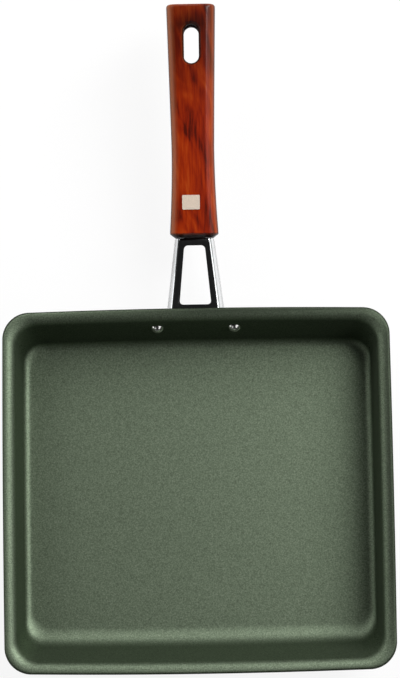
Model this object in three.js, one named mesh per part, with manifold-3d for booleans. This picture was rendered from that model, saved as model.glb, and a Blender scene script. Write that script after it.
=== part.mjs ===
// Egg pan: a nearly square pan for rolled omelettes, with a riveted bracket and a wooden grip.
// Millimetres, +Z up. The origin is the middle of the flat base, and +Y runs towards the handle.
import * as THREE from 'three';
import { mergeVertices } from 'three/addons/utils/BufferGeometryUtils.js';
import Module from 'manifold-3d';

const { degToRad, lerp } = THREE.MathUtils;
const { cos, sin, tan, sqrt, PI } = Math;
const wasm = await Module();
wasm.setup();

// Pan: outer rim, height and sheet
const RIM_WIDTH = 190;
const RIM_LENGTH = 178;
const PAN_HEIGHT = 34;
const PAN_SHEET = 2.2;
const RIM_CORNER = 13.2;
const WALL_CORNER = 10.7;
const FLOOR_CORNER = 10.2;
const SIDE_BOW = 0.3;
const END_BOW = 1;

// Pan: the rolled-out lip
const LIP_WIDTH = 6.4;
const LIP_RADIUS = 5;
const LIP_DROOP = degToRad(3);

// Pan: lean of each wall from upright, and the fillet where it meets the floor
const SIDE_LEAN = degToRad(3.8);
const BACK_LEAN = degToRad(12);
const FRONT_LEAN = degToRad(19.2);
const SIDE_FILLET = 3.8;
const BACK_FILLET = 4.2;
const FRONT_FILLET = 10.3;

// Rivets
const RIVET_SPACING = 38;
const RIVET_HEIGHT = 21.5;
const RIVET_SHANK = 4;
const RIVET_HEAD = 6.4;
const RIVET_DOME = 2.4;
const RIVET_TAIL = 1.5;

// Bracket: a channel folded from sheet, flared onto a foot that lies on the back wall
const BRACKET_SHEET = 1.5;
const BRACKET_REACH = 35.3;
const BRACKET_DROP = 7;
const BRACKET_PAN_WIDTH = 24.6;
const BRACKET_GRIP_WIDTH = 16.4;
const FLANGE_PAN_DEPTH = 12;
const FLANGE_GRIP_DEPTH = 9;
const FLANGE_SPLAY = degToRad(9);
const BRACKET_BEND = 2.2;
const FOOT_BEND = 1.2;
const FOOT_EAR = 6.5;
const FOOT_MARGIN = 0.8;
const OPENING_PAN_WIDTH = 15.6;
const OPENING_GRIP_WIDTH = 10.1;
const OPENING_START = 2.5;
const OPENING_END_BAR = 3.8;
const OPENING_CORNER = 1.8;
const TONGUE_LENGTH = 15;
const TONGUE_NECK = 0.3;

// Grip
const HANDLE_RISE = degToRad(7);
const GRIP_LENGTH = 114.6;
const GRIP_THICKNESS = 20;
const GRIP_NEAR_WIDTH = 24.2;
const GRIP_WAIST_WIDTH = 21;
const GRIP_FAR_WIDTH = 24.1;
const GRIP_WAIST_AT = 44;
const GRIP_NEAR_SWELL_POWER = 2;
const GRIP_FAR_SWELL_POWER = 1.1;
const GRIP_HOLLOW = 2.5;
const GRIP_EDGE = 5;
const GRIP_CHAMFER = 2.8;
const GRIP_CHAMFER_LENGTH = 2;
const GRIP_END_ROUND = 1.6;
const HANG_HOLE_WIDTH = 7.5;
const HANG_HOLE_LENGTH = 19.4;
const HANG_HOLE_MARGIN = 9.8;
const HANG_HOLE_CHAMFER = 1.2;

// Bolt, washers and nut that hold the grip on the bracket
const BOLT_SHANK = 4;
const BOLT_HEAD = 7;
const BOLT_HEAD_HEIGHT = 2.6;
const BOLT_HEAD_EDGE = 0.5;
const BOLT_TIP_CHAMFER = 0.5;
const BOLT_OVERRUN = 2;
const BOLT_SEAT_DEPTH = 7.5;
const WASHER_THICKNESS = 0.8;
const SPRING_WASHER_THICKNESS = 1.1;
const SPRING_WASHER_GAP = degToRad(16);
const NUT_WIDTH = 7;
const NUT_HEIGHT = 3.2;
const NUT_CORNER = 0.5;

// Label
const LABEL_WIDTH = 8.6;
const LABEL_LENGTH = 7.1;
const LABEL_THICKNESS = 0.2;
const LABEL_FROM_NEAR_END = 17.2;
const LABEL_OFFSET = -1.3;
const LABEL_CORNER = 0.4;

// Clearances: faces that press together, pieces inside one another, and the label's glue line
const SEAT_GAP = 0.25;
const FIT_GAP = 0.2;
const GLUE_LINE = 0.1;

// Steps in the round stretches
const CORNER_STEPS = 7;
const SIDE_STEPS = 10;
const FILLET_STEPS = 6;
const GRIP_STEPS = 12;
const BEND_STEPS = 4;
const ROUND_STEPS = 24;

// General shapes

function solid(geometry) {
  const bare = geometry.clone();
  bare.deleteAttribute('normal');
  bare.deleteAttribute('uv');
  const merged = mergeVertices(bare);
  const vertProperties = merged.attributes.position.array;
  const triVerts = new Uint32Array(merged.index.array);
  return new wasm.Manifold(new wasm.Mesh({ numProp: 3, vertProperties, triVerts }));
}

function geometryOf(body) {
  const { vertProperties, triVerts } = body.getMesh();
  const geometry = new THREE.BufferGeometry();
  geometry.setAttribute('position', new THREE.BufferAttribute(vertProperties, 3));
  geometry.setIndex(new THREE.BufferAttribute(triVerts, 1));
  geometry.computeVertexNormals();
  return geometry;
}

function cut(geometry, ...tools) {
  let body = solid(geometry);
  for (const tool of tools) body = body.subtract(solid(tool));
  return geometryOf(body);
}

function join(geometry, ...others) {
  let body = solid(geometry);
  for (const other of others) body = body.add(solid(other));
  return geometryOf(body);
}

// A closed body through rings of points, with its two end rings capped. The rings turn
// anticlockwise when seen from the last one; flatten gives a point of a ring its place in the plane.
function loft(rings, flatten) {
  const count = rings[0].length;
  const index = [];
  for (let ring = 0; ring + 1 < rings.length; ring++) {
    for (let i = 0; i < count; i++) {
      const a = ring * count + i;
      const b = ring * count + (i + 1) % count;
      index.push(a, b, b + count, a, b + count, a + count);
    }
  }
  const last = (rings.length - 1) * count;
  const cap = (ring) => THREE.ShapeUtils.triangulateShape(ring.map(flatten), []);
  for (const [a, b, c] of cap(rings[0])) index.push(c, b, a);
  for (const [a, b, c] of cap(rings.at(-1))) index.push(last + a, last + b, last + c);
  const geometry = new THREE.BufferGeometry().setFromPoints(rings.flat());
  geometry.setIndex(index);
  return geometry;
}

function steps(from, to, count) {
  return Array.from({ length: count + 1 }, (_, k) => lerp(from, to, k / count));
}

function arc(x, y, radius, from, to, count) {
  return steps(from, to, count)
    .map((angle) => new THREE.Vector2(x + radius * cos(angle), y + radius * sin(angle)));
}

// An outline through corners [x, y, radius], each rounded off
function roundedShape(corners) {
  const shape = new THREE.Shape();
  corners.forEach(([x, y, radius], i) => {
    const corner = new THREE.Vector2(x, y);
    const before = new THREE.Vector2(...corners.at(i - 1)).sub(corner).setLength(radius).add(corner);
    const next = corners[(i + 1) % corners.length];
    const after = new THREE.Vector2(...next).sub(corner).setLength(radius).add(corner);
    if (i === 0) shape.moveTo(before.x, before.y);
    else shape.lineTo(before.x, before.y);
    shape.quadraticCurveTo(x, y, after.x, after.y);
  });
  shape.closePath();
  return shape;
}

function circleHole(x, y, radius) {
  return new THREE.Path().absarc(x, y, radius, 0, 2 * PI, true);
}

// A plate of a given outline, from z = 0 up
function plate(shape, thickness) {
  const options = { depth: thickness, bevelEnabled: false, curveSegments: ROUND_STEPS / 4 };
  return new THREE.ExtrudeGeometry(shape, options);
}

// A round bar along Y
function bar(diameter, from, to) {
  const round = new THREE.CylinderGeometry(diameter / 2, diameter / 2, to - from, ROUND_STEPS);
  return round.translate(0, (from + to) / 2, 0);
}

function part(name, geometry, color, roughness, metalness) {
  const mesh = new THREE.Mesh(geometry, new THREE.MeshStandardMaterial({ color, roughness, metalness }));
  mesh.name = name;
  return mesh;
}

// Pan body

const LIP_CENTRE_OUT = LIP_RADIUS - LIP_WIDTH;
const LIP_CENTRE_UP = PAN_HEIGHT - LIP_RADIUS;

// The turn of the largest fillet that takes the levels past the top of every fillet
const FILLET_TURN = degToRad(72);

// One wall in section: how far its two skins lie from the outer edge of the rim at a height z.
// Each skin rises from the bend at the floor up the straight wall and over the roll of the lip.
function wallSection(lean, fillet) {
  const bendUp = PAN_SHEET + fillet;
  const topOut = LIP_CENTRE_OUT - LIP_RADIUS * cos(lean);
  const topUp = LIP_CENTRE_UP + LIP_RADIUS * sin(lean);
  const filletUp = bendUp - fillet * sin(lean);
  const floorOut = topOut - (topUp - filletUp) * tan(lean) - fillet * cos(lean);
  const skin = (z, bend, roll) => {
    const wallStart = bendUp - bend * sin(lean);
    const wallEnd = LIP_CENTRE_UP + roll * sin(lean);
    if (z < wallStart) return floorOut + sqrt(Math.max(0, bend ** 2 - (bendUp - z) ** 2));
    if (z > wallEnd) return LIP_CENTRE_OUT - sqrt(Math.max(0, roll ** 2 - (z - LIP_CENTRE_UP) ** 2));
    return floorOut + bend * cos(lean) + (z - wallStart) * tan(lean);
  };
  return {
    inner: (z) => skin(z, fillet, LIP_RADIUS),
    outer: (z) => skin(z, fillet + PAN_SHEET, LIP_RADIUS - PAN_SHEET),
  };
}

const SIDE_WALL = wallSection(SIDE_LEAN, SIDE_FILLET);
const BACK_WALL = wallSection(BACK_LEAN, BACK_FILLET);
const FRONT_WALL = wallSection(FRONT_LEAN, FRONT_FILLET);

// Corner radius of a skin at a height z: it grows up the wall, and again out over the lip
function cornerRadius(skin, z) {
  const atWallTop = WALL_CORNER + (skin === 'outer' ? PAN_SHEET : 0);
  if (z < LIP_CENTRE_UP) return lerp(FLOOR_CORNER, atWallTop, z / LIP_CENTRE_UP);
  const rollStart = SIDE_WALL[skin](LIP_CENTRE_UP);
  const spread = (SIDE_WALL[skin](z) - rollStart) / (LIP_CENTRE_OUT - rollStart);
  return lerp(atWallTop, RIM_CORNER, spread);
}

// A level outline of the pan: rounded corners joined by slightly bowed sides
function panRing(sideOut, frontOut, backOut, corner, z) {
  const reachX = RIM_WIDTH / 2 + sideOut - SIDE_BOW - corner;
  const reachBack = RIM_LENGTH / 2 + backOut - END_BOW - corner;
  const reachFront = RIM_LENGTH / 2 + frontOut - END_BOW - corner;
  const centres = [[reachX, reachBack], [-reachX, reachBack], [-reachX, -reachFront], [reachX, -reachFront]];
  const points = [];
  centres.forEach(([x, y], i) => {
    const from = i * PI / 2;
    const to = from + PI / 2;
    const round = arc(x, y, corner, from, to, CORNER_STEPS);
    const start = round.at(-1);
    const [nextX, nextY] = centres[(i + 1) % centres.length];
    const outward = new THREE.Vector2(cos(to), sin(to));
    const end = new THREE.Vector2(nextX, nextY).addScaledVector(outward, corner);
    const bow = i % 2 ? SIDE_BOW : END_BOW;
    points.push(...round);
    for (let k = 1; k < SIDE_STEPS; k++) {
      const t = k / SIDE_STEPS;
      points.push(start.clone().lerp(end, t).addScaledVector(outward, 4 * bow * t * (1 - t)));
    }
  });
  return points.map((p) => new THREE.Vector3(p.x, p.y, z));
}

function panRings() {
  const rings = [];
  const level = (skin, z) => {
    const corner = cornerRadius(skin, z);
    rings.push(panRing(SIDE_WALL[skin](z), FRONT_WALL[skin](z), BACK_WALL[skin](z), corner, z));
  };
  const lip = (out, z) => rings.push(panRing(out, out, out, RIM_CORNER, z));

  // Inside: floor fillet, wall, and the inner half of the lip up to its crest
  const largestFillet = Math.max(SIDE_FILLET, BACK_FILLET, FRONT_FILLET);
  const leastLean = Math.min(SIDE_LEAN, BACK_LEAN, FRONT_LEAN);
  const filletTurns = steps(0, FILLET_TURN, FILLET_STEPS);
  for (const turn of filletTurns) level('inner', PAN_SHEET + largestFillet * (1 - cos(turn)));
  const crestTurns = steps(leastLean, PI / 2, FILLET_STEPS);
  for (const turn of crestTurns) level('inner', LIP_CENTRE_UP + LIP_RADIUS * sin(turn));

  // Lip: over the crest, a little down to its edge and round it
  const edge = PAN_SHEET / 2;
  const droopOut = LIP_CENTRE_OUT + LIP_RADIUS * sin(LIP_DROOP);
  const droopUp = LIP_CENTRE_UP + LIP_RADIUS * cos(LIP_DROOP);
  const edgeUp = droopUp - (edge * sin(LIP_DROOP) - edge - droopOut) * tan(LIP_DROOP) - edge * cos(LIP_DROOP);
  lip(droopOut, droopUp);
  const edgeRound = arc(-edge, edgeUp, edge, PI / 2 - LIP_DROOP, -PI / 2 - LIP_DROOP, BEND_STEPS);
  for (const point of edgeRound) lip(point.x, point.y);

  // Outside: from under the lip down the wall and its fillet to the flat base
  const underRoll = LIP_RADIUS - PAN_SHEET;
  for (const turn of crestTurns.toReversed()) level('outer', LIP_CENTRE_UP + underRoll * sin(turn));
  const outerFillet = largestFillet + PAN_SHEET;
  for (const turn of filletTurns.toReversed()) level('outer', outerFillet * (1 - cos(turn)));
  return rings;
}

const fromAbove = (p) => new THREE.Vector2(p.x, p.y);

function panBody() {
  const body = loft(panRings().reverse(), fromAbove);
  return cut(body, ...[-1, 1].map((side) => {
    const clear = 4 * PAN_SHEET;
    const drill = bar(RIVET_SHANK + 2 * FIT_GAP, -clear, clear);
    return drill.applyMatrix4(rivetPlace(side));
  }));
}

// Back wall: how far the bow has fallen away at x, and a rivet's place with its Y axis out of the pan
function bowFall(x) {
  const corner = cornerRadius('outer', RIVET_HEIGHT);
  const reach = RIM_WIDTH / 2 + SIDE_WALL.outer(RIVET_HEIGHT) - SIDE_BOW - corner;
  return END_BOW * (x / reach) ** 2;
}

function wallPlace(x) {
  const y = RIM_LENGTH / 2 + BACK_WALL.outer(RIVET_HEIGHT) - bowFall(x);
  return new THREE.Matrix4().makeRotationX(-BACK_LEAN).setPosition(x, y, RIVET_HEIGHT);
}

function rivetPlace(side) {
  return wallPlace(side * RIVET_SPACING / 2);
}

// Rivets: a domed head inside the pan, a shank through wall and foot, and a flatter formed tail

function domeProfile(radius, height, base, direction) {
  const ball = (radius ** 2 + height ** 2) / (2 * height);
  const spread = Math.asin(radius / ball);
  const centre = base + direction * (height - ball);
  return arc(0, 0, ball, PI / 2, PI / 2 - spread, BEND_STEPS)
    .map((p) => new THREE.Vector2(Math.max(0, p.x), centre + direction * p.y));
}

function rivet() {
  const inside = -PAN_SHEET - SEAT_GAP;
  const outside = 2 * SEAT_GAP + BRACKET_SHEET + bowFall(RIVET_SPACING / 2);
  const shank = RIVET_SHANK / 2;
  const head = domeProfile(RIVET_HEAD / 2, RIVET_DOME, inside, -1);
  const tail = domeProfile(RIVET_HEAD / 2, RIVET_TAIL, outside, 1).reverse();
  const profile = [...head, new THREE.Vector2(shank, inside), new THREE.Vector2(shank, outside), ...tail];
  return new THREE.LatheGeometry(profile, ROUND_STEPS);
}

function placedRivet(name, side) {
  const mesh = part(name, rivet(), 0xb9bdb6, 0.3, 0.9);
  mesh.position.setFromMatrixPosition(rivetPlace(side));
  mesh.rotation.x = -BACK_LEAN;
  return mesh;
}

// Handle: in its own frame Y runs along the bolt, with 0 at the near end of the grip, and Z is up

const WEB_TOP = NUT_WIDTH / 2 + FIT_GAP + BRACKET_SHEET;
const TONGUE_WIDTH = NUT_WIDTH + 2 * (FIT_GAP + BRACKET_SHEET);
const TONGUE_BOTTOM = -NUT_WIDTH / 2 - FIT_GAP;
const TAB_BACK = TONGUE_LENGTH - FIT_GAP;
const TAB_FRONT = TAB_BACK - BRACKET_SHEET;

function handleGroup() {
  const group = new THREE.Group();
  const along = new THREE.Vector3(0, cos(HANDLE_RISE), sin(HANDLE_RISE));
  const upright = new THREE.Vector3(0, -sin(HANDLE_RISE), cos(HANDLE_RISE));
  group.rotation.x = HANDLE_RISE;
  group.position.set(0, RIM_LENGTH / 2, PAN_HEIGHT - BRACKET_DROP)
    .addScaledVector(along, BRACKET_REACH)
    .addScaledVector(upright, -WEB_TOP);
  group.updateMatrixWorld();
  return group;
}

const HANDLE = handleGroup();

// The outer face of the foot, in the handle's frame: Y at a height z, a distance off the face
function footFace(z, distance) {
  const turn = BACK_LEAN + HANDLE_RISE;
  const point = new THREE.Vector3(0, SEAT_GAP + BRACKET_SHEET + distance, 0).applyMatrix4(wallPlace(0));
  HANDLE.worldToLocal(point);
  return point.y + (z - point.z) * tan(turn);
}

// Section of the channel, seen along the handle: outer skin over the top, then the inner skin back
function channelSkins(halfWidth, top, bottom, splay) {
  const setIn = BRACKET_BEND * tan((PI / 2 - splay) / 2);
  const skin = (radius) => {
    const bend = arc(halfWidth - setIn, top - BRACKET_BEND, radius, splay, PI / 2, BEND_STEPS);
    const foot = new THREE.Vector2(bend[0].x + (bend[0].y - bottom) * tan(splay), bottom);
    const right = [foot, ...bend];
    const left = right.map((p) => new THREE.Vector2(-p.x, p.y)).reverse();
    return [...right, ...left];
  };
  return { outer: skin(BRACKET_BEND), inner: skin(BRACKET_BEND - BRACKET_SHEET).reverse() };
}

function channelRing(skins, outerAlong, innerAlong) {
  const outer = skins.outer.map((p) => new THREE.Vector3(-p.x, outerAlong(p.y), p.y));
  const inner = skins.inner.map((p) => new THREE.Vector3(-p.x, innerAlong(p.y), p.y));
  return [...outer, ...inner];
}

function bracketHalfWidth(y) {
  return lerp(BRACKET_GRIP_WIDTH, BRACKET_PAN_WIDTH, -y / BRACKET_REACH) / 2;
}

function flangeBottom(y) {
  return WEB_TOP - lerp(FLANGE_GRIP_DEPTH, FLANGE_PAN_DEPTH, -y / BRACKET_REACH);
}

function bracketChannel() {
  const rings = [];
  const flared = (distance, flare) => {
    const start = footFace(0, distance);
    const halfWidth = bracketHalfWidth(start) + flare;
    const skins = channelSkins(halfWidth, WEB_TOP + flare, flangeBottom(start), FLANGE_SPLAY);
    const along = (z) => footFace(z, distance);
    rings.push(channelRing(skins, along, along));
  };
  flared(-BRACKET_SHEET / 2, FOOT_BEND);
  for (let k = 0; k <= BEND_STEPS; k++) {
    const turn = k / BEND_STEPS * PI / 2;
    flared(FOOT_BEND * (1 - cos(turn)), FOOT_BEND * (1 - sin(turn)));
  }
  const wide = channelSkins(bracketHalfWidth(0), WEB_TOP, flangeBottom(0), FLANGE_SPLAY);
  const tongue = channelSkins(TONGUE_WIDTH / 2, WEB_TOP, TONGUE_BOTTOM, 0);
  const shoulder = -SEAT_GAP;
  rings.push(channelRing(wide, () => shoulder - TONGUE_NECK, () => shoulder - TONGUE_NECK - BRACKET_SHEET));
  rings.push(channelRing(tongue, () => shoulder, () => shoulder - BRACKET_SHEET));
  rings.push(channelRing(tongue, () => TONGUE_LENGTH, () => TONGUE_LENGTH));
  return loft(rings, (p) => new THREE.Vector2(-p.x, p.z));
}

// How far above the rivets a height z of the channel meets the foot, measured up the wall
function footUp(z) {
  const point = HANDLE.localToWorld(new THREE.Vector3(0, footFace(z, 0), z));
  return point.applyMatrix4(wallPlace(0).invert()).z;
}

// The foot: a rounded plate that carries the channel and runs out to an ear with a rivet on each side
function bracketFoot() {
  const ear = RIVET_SPACING / 2 + FOOT_EAR;
  const channelTop = footUp(WEB_TOP) + FOOT_BEND;
  const channelBottom = footUp(flangeBottom(footFace(0, 0)));
  const top = Math.max(channelTop + FOOT_MARGIN, FOOT_EAR);
  const bottom = Math.min(channelBottom - FOOT_MARGIN, -FOOT_EAR);
  const shape = roundedShape([
    [-ear, bottom, FOOT_EAR], [ear, bottom, FOOT_EAR], [ear, top, FOOT_EAR], [-ear, top, FOOT_EAR],
  ]);
  for (const side of [-1, 1]) {
    shape.holes.push(circleHole(side * RIVET_SPACING / 2, 0, RIVET_SHANK / 2 + FIT_GAP));
  }
  const upWall = new THREE.Matrix4().makeRotationX(PI / 2).setPosition(0, SEAT_GAP + BRACKET_SHEET, 0);
  const intoHandle = HANDLE.matrixWorld.clone().invert().multiply(wallPlace(0)).multiply(upWall);
  return plate(shape, BRACKET_SHEET).applyMatrix4(intoHandle);
}

// The tab that closes the tongue and takes the bolt
function bracketTab() {
  const overlap = BRACKET_SHEET / 2;
  const half = TONGUE_WIDTH / 2 - overlap;
  const shape = roundedShape([
    [-half, TONGUE_BOTTOM + overlap, overlap], [half, TONGUE_BOTTOM + overlap, overlap],
    [half, WEB_TOP - overlap, overlap], [-half, WEB_TOP - overlap, overlap],
  ]);
  shape.holes.push(circleHole(0, 0, BOLT_SHANK / 2 + FIT_GAP));
  return plate(shape, BRACKET_SHEET).rotateX(PI / 2).translate(0, TAB_BACK, 0);
}

function bracketOpening() {
  const nearPan = OPENING_START - BRACKET_REACH;
  const nearGrip = -OPENING_END_BAR;
  const shape = roundedShape([
    [-OPENING_PAN_WIDTH / 2, nearPan, OPENING_CORNER], [OPENING_PAN_WIDTH / 2, nearPan, OPENING_CORNER],
    [OPENING_GRIP_WIDTH / 2, nearGrip, OPENING_CORNER], [-OPENING_GRIP_WIDTH / 2, nearGrip, OPENING_CORNER],
  ]);
  return plate(shape, 3 * BRACKET_SHEET).translate(0, 0, WEB_TOP - 2 * BRACKET_SHEET);
}

function bracket() {
  return cut(join(bracketChannel(), bracketFoot(), bracketTab()), bracketOpening());
}

// Grip: waisted in plan, flat on top and hollowed underneath

const HOLE_CENTRE = GRIP_LENGTH - HANG_HOLE_MARGIN - HANG_HOLE_LENGTH / 2;
const BOLT_SEAT = HOLE_CENTRE - HANG_HOLE_LENGTH / 2 - BOLT_SEAT_DEPTH;
const GRIP_TOP = GRIP_THICKNESS / 2;

function gripHalfWidth(y) {
  const near = (GRIP_WAIST_AT - y) / GRIP_WAIST_AT;
  const far = (y - GRIP_WAIST_AT) / (GRIP_LENGTH - GRIP_WAIST_AT);
  const swell = y < GRIP_WAIST_AT ? near ** GRIP_NEAR_SWELL_POWER * (GRIP_NEAR_WIDTH - GRIP_WAIST_WIDTH)
    : far ** GRIP_FAR_SWELL_POWER * (GRIP_FAR_WIDTH - GRIP_WAIST_WIDTH);
  return (GRIP_WAIST_WIDTH + swell) / 2;
}

function gripBottom(y) {
  return -GRIP_TOP + GRIP_HOLLOW * sin(PI * y / GRIP_LENGTH) ** 2;
}

function gripRing(y, inset) {
  const half = gripHalfWidth(y) - inset;
  const top = GRIP_TOP - inset;
  const bottom = gripBottom(y) + inset;
  const radius = GRIP_EDGE - inset / 2;
  const centres = [[half, top], [-half, top], [-half, bottom], [half, bottom]];
  return centres.flatMap(([x, z], i) => {
    const from = i * PI / 2;
    const centreX = x - Math.sign(x) * radius;
    const centreZ = z - Math.sign(z) * radius;
    return arc(centreX, centreZ, radius, from, from + PI / 2, BEND_STEPS + 1);
  }).map((p) => new THREE.Vector3(-p.x, y, p.y));
}

const alongGrip = (p) => new THREE.Vector2(-p.x, p.z);

function gripBlank() {
  const rings = [gripRing(0, GRIP_CHAMFER), gripRing(GRIP_CHAMFER_LENGTH, 0)];
  const bodyEnd = GRIP_LENGTH - GRIP_END_ROUND;
  const places = steps(GRIP_CHAMFER_LENGTH, bodyEnd, GRIP_STEPS).slice(1);
  for (const y of places) rings.push(gripRing(y, 0));
  for (let k = 1; k <= BEND_STEPS; k++) {
    const turn = k / BEND_STEPS * PI / 2;
    rings.push(gripRing(bodyEnd + GRIP_END_ROUND * sin(turn), GRIP_END_ROUND * (1 - cos(turn))));
  }
  return loft(rings, alongGrip);
}

// The hanging hole with a chamfer at both faces
function hangingHole() {
  const straight = (HANG_HOLE_LENGTH - HANG_HOLE_WIDTH) / 2;
  const ring = (z, grow) => {
    const radius = HANG_HOLE_WIDTH / 2 + grow;
    const far = arc(0, HOLE_CENTRE + straight, radius, 0, PI, ROUND_STEPS / 2);
    const near = arc(0, HOLE_CENTRE - straight, radius, PI, 2 * PI, ROUND_STEPS / 2);
    return [...far, ...near].map((p) => new THREE.Vector3(p.x, p.y, z));
  };
  const bottom = gripBottom(HOLE_CENTRE);
  const proud = HANG_HOLE_CHAMFER;
  return loft([
    ring(bottom - proud, 2 * HANG_HOLE_CHAMFER), ring(bottom + HANG_HOLE_CHAMFER, 0),
    ring(GRIP_TOP - HANG_HOLE_CHAMFER, 0), ring(GRIP_TOP + proud, 2 * HANG_HOLE_CHAMFER),
  ], fromAbove);
}

function tongueSocket() {
  const half = TONGUE_WIDTH / 2 + FIT_GAP;
  const shape = roundedShape([
    [-half, TONGUE_BOTTOM - FIT_GAP, FIT_GAP], [half, TONGUE_BOTTOM - FIT_GAP, FIT_GAP],
    [half, WEB_TOP + FIT_GAP, FIT_GAP], [-half, WEB_TOP + FIT_GAP, FIT_GAP],
  ]);
  const depth = TONGUE_LENGTH + SEAT_GAP;
  return plate(shape, 2 * depth).rotateX(PI / 2).translate(0, depth, 0);
}

function grip() {
  const boltBore = bar(BOLT_SHANK + 2 * FIT_GAP, TONGUE_LENGTH, HOLE_CENTRE);
  const driverBore = bar(BOLT_HEAD + 2 * FIT_GAP, BOLT_SEAT, GRIP_LENGTH + GRIP_END_ROUND);
  return cut(gripBlank(), hangingHole(), tongueSocket(), boltBore, driverBore);
}

// Fixings along the bolt, from the shoulder in the grip outwards

const WASHER_AT = BOLT_SEAT + SEAT_GAP;
const SPRING_WASHER_AT = WASHER_AT + WASHER_THICKNESS + SEAT_GAP;
const BOLT_HEAD_AT = SPRING_WASHER_AT + SPRING_WASHER_THICKNESS + SEAT_GAP;
const NUT_AT = TAB_FRONT - SEAT_GAP - NUT_HEIGHT;

function bolt() {
  const tip = NUT_AT - BOLT_OVERRUN;
  const headTop = BOLT_HEAD_AT + BOLT_HEAD_HEIGHT;
  const profile = [
    [0, tip], [BOLT_SHANK / 2 - BOLT_TIP_CHAMFER, tip], [BOLT_SHANK / 2, tip + BOLT_TIP_CHAMFER],
    [BOLT_SHANK / 2, BOLT_HEAD_AT], [BOLT_HEAD / 2, BOLT_HEAD_AT],
    [BOLT_HEAD / 2, headTop - BOLT_HEAD_EDGE], [BOLT_HEAD / 2 - BOLT_HEAD_EDGE, headTop], [0, headTop],
  ];
  return new THREE.LatheGeometry(profile.map(([r, y]) => new THREE.Vector2(r, y)), ROUND_STEPS);
}

function washer() {
  const shape = new THREE.Shape().absarc(0, 0, BOLT_HEAD / 2, 0, 2 * PI, false);
  shape.holes.push(circleHole(0, 0, BOLT_SHANK / 2 + FIT_GAP));
  return plate(shape, WASHER_THICKNESS).rotateX(PI / 2).translate(0, WASHER_AT + WASHER_THICKNESS, 0);
}

function springWasher() {
  const from = SPRING_WASHER_GAP / 2;
  const to = 2 * PI - from;
  const shape = new THREE.Shape([
    ...arc(0, 0, BOLT_HEAD / 2, from, to, ROUND_STEPS),
    ...arc(0, 0, BOLT_SHANK / 2 + FIT_GAP, to, from, ROUND_STEPS),
  ]);
  const ring = plate(shape, SPRING_WASHER_THICKNESS).rotateX(PI / 2);
  return ring.translate(0, SPRING_WASHER_AT + SPRING_WASHER_THICKNESS, 0);
}

function nut() {
  const half = NUT_WIDTH / 2;
  const shape = roundedShape([
    [-half, -half, NUT_CORNER], [half, -half, NUT_CORNER],
    [half, half, NUT_CORNER], [-half, half, NUT_CORNER],
  ]);
  shape.holes.push(circleHole(0, 0, BOLT_SHANK / 2 + FIT_GAP));
  return plate(shape, NUT_HEIGHT).rotateX(PI / 2).translate(0, NUT_AT + NUT_HEIGHT, 0);
}

function label() {
  const halfX = LABEL_WIDTH / 2;
  const halfY = LABEL_LENGTH / 2;
  const shape = roundedShape([
    [-halfX, -halfY, LABEL_CORNER], [halfX, -halfY, LABEL_CORNER],
    [halfX, halfY, LABEL_CORNER], [-halfX, halfY, LABEL_CORNER],
  ]);
  return plate(shape, LABEL_THICKNESS).translate(LABEL_OFFSET, LABEL_FROM_NEAR_END, GRIP_TOP + GLUE_LINE);
}

// The whole pan

const STEEL = 0xb4b7b8;
HANDLE.add(
  part('handle_bracket', bracket(), 0xc9ced0, 0.12, 1),
  part('wood_grip', grip(), 0x8a2f0c, 0.35, 0),
  part('handle_bolt', bolt(), STEEL, 0.35, 1),
  part('bolt_washer', washer(), STEEL, 0.35, 1),
  part('bolt_spring_washer', springWasher(), STEEL, 0.35, 1),
  part('bracket_nut', nut(), STEEL, 0.35, 1),
  part('grip_label', label(), 0xe9dcc4, 0.6, 0),
);

const eggPan = new THREE.Group();
eggPan.add(
  part('pan_body', panBody(), 0x5a6452, 0.45, 0.4),
  placedRivet('rivet_left', -1),
  placedRivet('rivet_right', 1),
  HANDLE,
);

export default eggPan;
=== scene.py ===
# Looks of the egg pan: a coated pan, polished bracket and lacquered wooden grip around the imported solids.
from math import asin, cos, pi, radians, sin, sqrt, tan

import bmesh
import bpy
from mathutils import Matrix, Vector

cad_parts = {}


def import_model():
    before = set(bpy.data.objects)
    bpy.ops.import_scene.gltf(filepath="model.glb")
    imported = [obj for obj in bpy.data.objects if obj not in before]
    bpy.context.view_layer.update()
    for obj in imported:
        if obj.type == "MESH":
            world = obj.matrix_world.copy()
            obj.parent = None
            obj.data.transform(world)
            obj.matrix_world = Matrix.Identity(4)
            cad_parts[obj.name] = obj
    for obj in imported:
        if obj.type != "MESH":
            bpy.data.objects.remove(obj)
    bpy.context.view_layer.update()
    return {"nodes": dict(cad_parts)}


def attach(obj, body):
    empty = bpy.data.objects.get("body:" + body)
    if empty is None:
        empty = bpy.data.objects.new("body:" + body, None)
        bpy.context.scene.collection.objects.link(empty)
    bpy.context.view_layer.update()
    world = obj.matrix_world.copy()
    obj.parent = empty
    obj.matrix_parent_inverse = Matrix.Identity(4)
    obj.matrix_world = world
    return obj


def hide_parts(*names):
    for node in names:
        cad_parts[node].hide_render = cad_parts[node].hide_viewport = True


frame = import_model()

MM = 0.001

# Pan: outer rim, height and sheet
RIM_WIDTH = 190 * MM
RIM_LENGTH = 178 * MM
PAN_HEIGHT = 34 * MM
PAN_SHEET = 2.2 * MM
RIM_CORNER = 13.2 * MM
WALL_CORNER = 10.7 * MM
FLOOR_CORNER = 10.2 * MM
SIDE_BOW = 0.3 * MM
END_BOW = 1 * MM

# Pan: the rolled-out lip
LIP_WIDTH = 6.4 * MM
LIP_RADIUS = 5 * MM
LIP_DROOP = radians(3)

# Pan: lean of each wall from upright, and the fillet where it meets the floor
SIDE_LEAN = radians(3.8)
BACK_LEAN = radians(12)
FRONT_LEAN = radians(19.2)
SIDE_FILLET = 3.8 * MM
BACK_FILLET = 4.2 * MM
FRONT_FILLET = 10.3 * MM

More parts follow.
